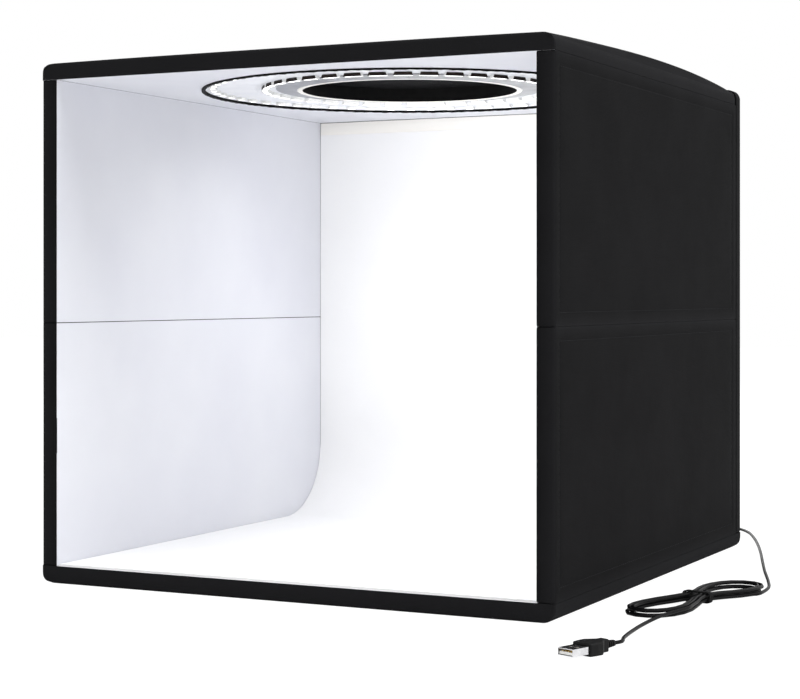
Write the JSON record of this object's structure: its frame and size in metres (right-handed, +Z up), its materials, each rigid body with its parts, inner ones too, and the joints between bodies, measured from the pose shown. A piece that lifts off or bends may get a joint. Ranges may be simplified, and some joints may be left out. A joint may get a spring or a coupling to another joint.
{
  "type": "light tent cube",
  "caption": "Foldable black cube light tent with white lining, seamless white backdrop, ring light round a top camera hole, and a tied USB power lead.",
  "frame": {"origin": "centre of the underside of the floor panel, on the surface the tent stands on", "axes": "+X to the right of the open front, +Y from the front to the rear, +Z up"},
  "size_m": [0.4955, 0.6496, 0.385],
  "materials": {
    "black_cloth": "matt coated woven cloth",
    "grey_board": "matt hollow plastic board",
    "white_liner": "smooth white coated reflective cloth",
    "white_sheet": "matt white sheet",
    "silver_reflector": "satin silver foil",
    "led_board": "white circuit board with LEDs",
    "hook_and_loop": "black hook and loop tape",
    "black_lead": "satin flexible plastic",
    "plug_black": "fine textured overmould",
    "plug_steel": "bright nickel plate",
    "white_insulator": "matt white plastic",
    "gold_contact": "gold plate"
  },
  "bodies": {
    "base": {"floor_cover": "black_cloth", "floor_board": "grey_board", "floor_liner": "white_liner", "floor_lead": "black_lead", "backdrop_sheet": "white_sheet", "backdrop_hem": "white_sheet", "cord_gland": "black_lead", "cord_run": "black_lead", "cord_hank": "black_lead", "hank_tie": "hook_and_loop", "cord_tail": "black_lead", "plug_strain_relief": "black_lead", "plug_body": "plug_black", "plug_shell": "plug_steel", "plug_insulator": "white_insulator", "plug_contact_1": "gold_contact", "plug_contact_2": "gold_contact", "plug_contact_3": "gold_contact", "plug_contact_4": "gold_contact"},
    "right_lower_wall": {"right_lower_wall_cover": "black_cloth", "right_lower_wall_board": "grey_board", "right_lower_wall_liner": "white_liner", "right_lower_hook_strip": "hook_and_loop", "right_lower_lead": "black_lead"},
    "right_upper_wall": {"right_upper_wall_cover": "black_cloth", "right_upper_wall_board": "grey_board", "right_upper_wall_liner": "white_liner", "right_upper_hook_strip": "hook_and_loop", "right_upper_lead": "black_lead"},
    "left_lower_wall": {"left_lower_wall_cover": "black_cloth", "left_lower_wall_board": "grey_board", "left_lower_wall_liner": "white_liner", "left_lower_hook_strip": "hook_and_loop"},
    "left_upper_wall": {"left_upper_wall_cover": "black_cloth", "left_upper_wall_board": "grey_board", "left_upper_wall_liner": "white_liner", "left_upper_hook_strip": "hook_and_loop"},
    "ceiling": {"ceiling_cover": "black_cloth", "ceiling_board": "grey_board", "ceiling_liner": "white_liner", "ring_led_board": "led_board", "hole_trim": "black_cloth", "reflector_ring": "silver_reflector", "ceiling_lead": "black_lead"},
    "rear_panel": {"rear_cover": "black_cloth", "rear_board": "grey_board", "rear_liner": "white_liner", "rear_right_loop_strip": "hook_and_loop", "rear_left_loop_strip": "hook_and_loop"},
    "hole_flap": {"camera_hole_flap": "black_cloth"}
  },
  "joints": [
    {"name": "fold", "type": "hinge", "parent": "base", "child": "right_lower_wall", "pos_m": [0.191, 0, 0.0133], "axis": [0, -1, 0], "range_deg": [0, 90], "deforming": ["backdrop_sheet", "backdrop_hem"]},
    {"name": "right_crease", "type": "hinge", "parent": "right_lower_wall", "child": "right_upper_wall", "pos_m": [0.2043, 0, 0.1925], "axis": [0, 1, 0], "range_deg": [0, 180]},
    {"name": "ceiling_hinge", "type": "hinge", "parent": "right_upper_wall", "child": "ceiling", "pos_m": [0.191, 0, 0.3717], "axis": [0, -1, 0], "range_deg": [0, 90]},
    {"name": "left_fold", "type": "hinge", "parent": "base", "child": "left_lower_wall", "pos_m": [-0.191, 0, 0.0133], "axis": [0, 1, 0], "range_deg": [0, 90]},
    {"name": "left_crease", "type": "hinge", "parent": "left_lower_wall", "child": "left_upper_wall", "pos_m": [-0.2043, 0, 0.1925], "axis": [0, -1, 0], "range_deg": [0, 180]},
    {"name": "rear_hinge", "type": "hinge", "parent": "base", "child": "rear_panel", "pos_m": [0, 0.2113, 0.0133], "axis": [-1, 0, 0], "range_deg": [0, 90]},
    {"name": "flap_hinge", "type": "hinge", "parent": "ceiling", "child": "hole_flap", "pos_m": [0.005, -0.1165, 0.3854], "axis": [1, 0, 0], "range_deg": [0, 180]}
  ],
  "couplings": [
    {"joint": "right_crease", "follows": "fold", "ratio": 2},
    {"joint": "ceiling_hinge", "follows": "fold", "ratio": 1},
    {"joint": "left_fold", "follows": "fold", "ratio": 1},
    {"joint": "left_crease", "follows": "fold", "ratio": 2}
  ]
}
